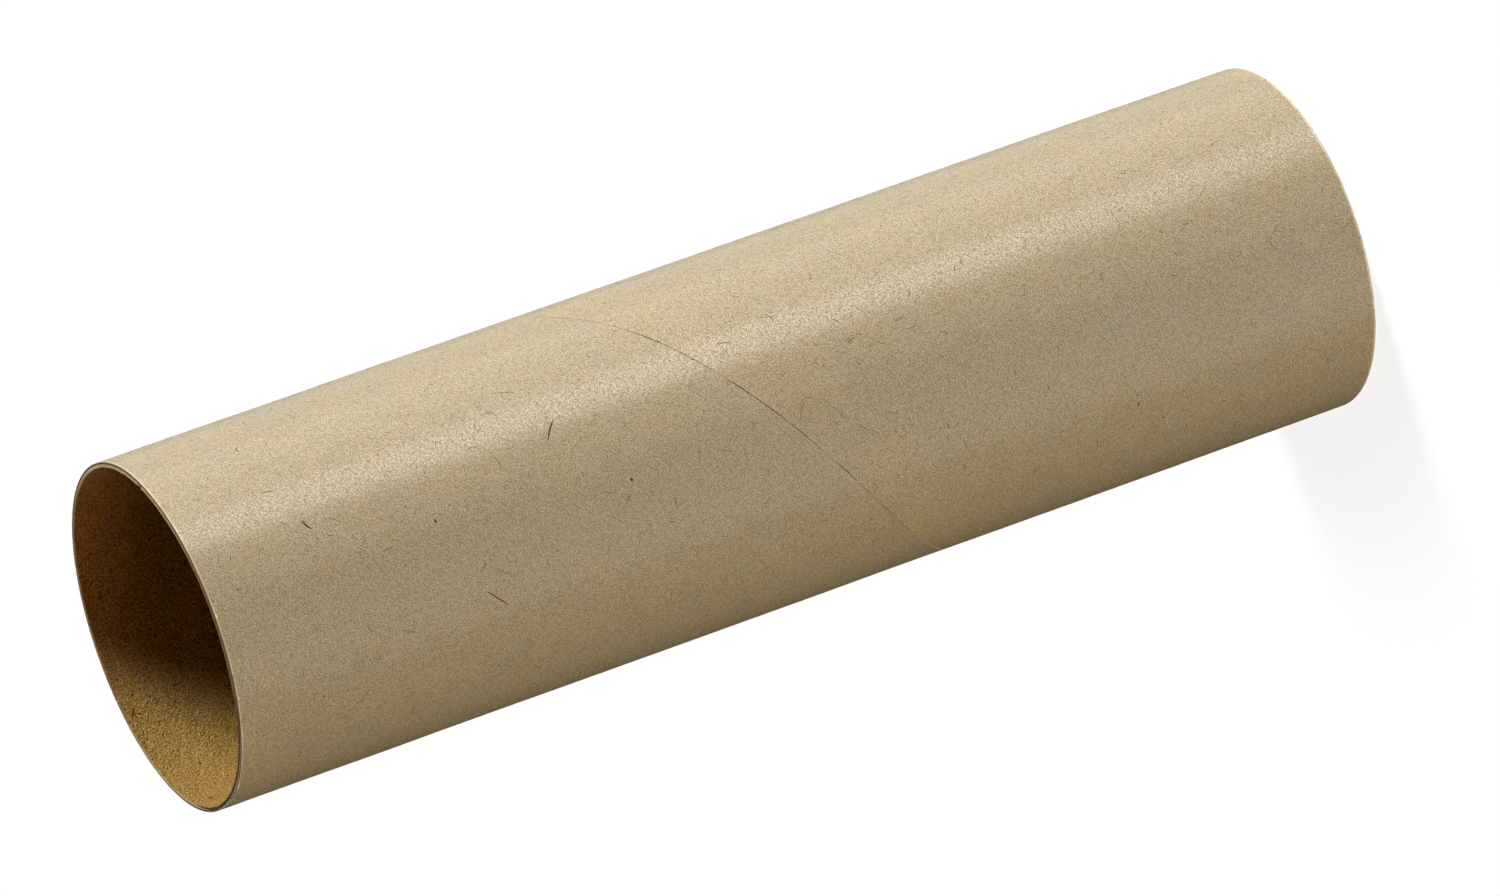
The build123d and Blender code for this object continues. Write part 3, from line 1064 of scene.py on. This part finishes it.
def build_kraft_fibres():
    brown = fibre_material("brown_fibre", srgb(128, 94, 58), srgb(96, 68, 40))
    finish_fibres(scatter_kraft_fibres("brown_fibres"), brown)
    hair_widths = [HAIR_HALF_WIDTH] * len(HAIR_PIXELS)
    finish_fibres(lay_on_kraft("loose_hairs", HAIR_PIXELS.values(), hair_widths), brown)

    pale = fibre_material("pale_fibre", srgb(186, 166, 132), srgb(204, 186, 152))
    finish_fibres(scatter_kraft_fibres("pale_fibres"), pale)
    finish_fibres(scatter_cut_fuzz(), pale)

    fine = fibre_material("fine_fibre", srgb(150, 120, 76), srgb(124, 94, 56))
    finish_fibres(scatter_kraft_fibres("fine_fibres"), fine)

    pale_paper = fibre_material("torn_paper", srgb(226, 208, 166), srgb(244, 230, 196), TORN_ROUGHNESS_LIMITS)
    burr_widths = [EDGE_BURR_HALF_WIDTH] * len(EDGE_BURR_PIXELS)
    finish_fibres(lay_on_kraft("edge_burrs", EDGE_BURR_PIXELS.values(), burr_widths), pale_paper)


def build_bark_and_pit_shade():
    bark_and_pit_shade = fibre_material("dark_bark_and_pit_shade", srgb(98, 67, 34), srgb(52, 36, 18))
    finish_fibres(scatter_kraft_fibres("dark_fibres"), bark_and_pit_shade)
    fleck_widths, fleck_lines = zip(*BARK_FLECKS.values())
    finish_fibres(lay_on_kraft("bark_flecks", fleck_lines, fleck_widths), bark_and_pit_shade)
    # Dark flecks where the board has hollows: painted shade
    shaded_pits = lay_on_board("board_pit_shade", BOARD_PIT_PIXELS.values(), BOARD_PIT_HALF_WIDTH)
    finish_fibres(shaded_pits, bark_and_pit_shade)
    red = fibre_material("red_bark", srgb(150, 76, 42), srgb(84, 42, 23))
    red_sliver = lay_on_kraft("red_sliver", [RED_SLIVER_PIXELS], [RED_SLIVER_HALF_WIDTH])
    finish_fibres(red_sliver, red)


def build_board_fibres():
    golden = fibre_material("golden_fibre", srgb(148, 112, 58), srgb(196, 164, 108), GOLDEN_ROUGHNESS_LIMITS)
    finish_fibres(scatter_board_fibres(), golden)
    # Pale threads where the board glints: painted highlights
    glint_paint = fibre_material("painted_glint", srgb(206, 176, 118), srgb(230, 204, 150), GLINT_ROUGHNESS_LIMITS)
    glints = lay_on_board("board_glints", BOARD_GLINT_PIXELS.values(), BOARD_GLINT_HALF_WIDTH)
    finish_fibres(glints, glint_paint)


# Floor, lamps and room


def floor_material():
    """Pale paper that shows the tube's shadow and melts into the white room further out."""
    material, tree, shader = start_material("white_floor")
    tree.nodes.remove(shader)
    distance = put(tree, "VectorMath", {0: tube_coordinates(tree)}, operation="LENGTH").outputs["Value"]
    camera_ray = put(tree, "LightPath").outputs["Is Camera Ray"]
    matt = put(tree, "BsdfDiffuse", {"Color": FLOOR_GREY})
    glow = put(tree, "Emission", {"Strength": calc(tree, "MULTIPLY", camera_ray, FLOOR_GLOW)})
    lit = put(tree, "AddShader", {0: matt.outputs[0], 1: glow.outputs[0]})
    white = put(tree, "Emission", {"Strength": 1.0})
    melted = calc(tree, "MULTIPLY", camera_ray, fade(tree, distance, *FLOOR_FADE))
    surface = put(tree, "MixShader", {0: melted, 1: lit.outputs[0], 2: white.outputs[0]})
    tree.links.new(surface.outputs[0], tree.nodes["Material Output"].inputs["Surface"])
    return material


def add_floor():
    angles = np.linspace(0, 2 * pi, FLOOR_CORNERS, endpoint=False)
    corners = tube_points(angles, np.full(FLOOR_CORNERS, FLOOR_RADIUS), np.zeros(FLOOR_CORNERS))
    mesh = bpy.data.meshes.new("floor")
    mesh.from_pydata(corners.tolist(), [], [list(range(FLOOR_CORNERS))])
    mesh.materials.append(floor_material())
    floor = bpy.data.objects.new("floor", mesh)
    floor.location.z = -FLOOR_DROP
    floor.visible_diffuse = False
    floor.visible_glossy = False
    floor.visible_shadow = False
    bpy.context.scene.collection.objects.link(floor)


def add_lamp(name, azimuth, slope, breadth, depth, radiance):
    """A soft lamp that faces the tube's middle. Its place and size are angles as seen from there."""
    azimuth = radians(azimuth)
    slope = radians(slope)
    width = 2 * LAMP_DISTANCE * tan(radians(breadth) / 2)
    height = 2 * LAMP_DISTANCE * tan(radians(depth) / 2)
    lamp = bpy.data.lights.new(name, "AREA")
    lamp.shape = "RECTANGLE"
    lamp.size = width
    lamp.size_y = height
    lamp.energy = radiance * pi * width * height
    lamp.color = LAMP_TINTS.get(name, WHITE)
    outward = Vector((cos(slope) * cos(azimuth), cos(slope) * sin(azimuth), sin(slope)))
    holder = bpy.data.objects.new(name, lamp)
    holder.location = Vector((0, 0, TUBE_LENGTH / 2)) + outward * LAMP_DISTANCE
    holder.rotation_euler = (-outward).to_track_quat("-Z", "Y").to_euler()
    holder.visible_camera = False
    bpy.context.scene.collection.objects.link(holder)


def whiten_room():
    """A world that the camera sees as white and that lights the tube only faintly."""
    world = bpy.data.worlds.new("white_room")
    world.use_nodes = True
    tree = world.node_tree
    camera_ray = put(tree, "LightPath").outputs["Is Camera Ray"]
    background = tree.nodes["Background"]
    background.inputs["Color"].default_value = (*WHITE, 1.0)
    tree.links.new(fade(tree, camera_ray, 0.0, 1.0, ROOM_LIGHT, 1.0), background.inputs["Strength"])
    bpy.context.scene.world = world


add_camera()
build_plies()
build_kraft_fibres()
build_bark_and_pit_shade()
build_board_fibres()
add_floor()
for lamp_name, lamp_values in LAMPS.items():
    add_lamp(lamp_name, *lamp_values)
whiten_room()
bpy.context.scene.view_settings.view_transform = "Standard"
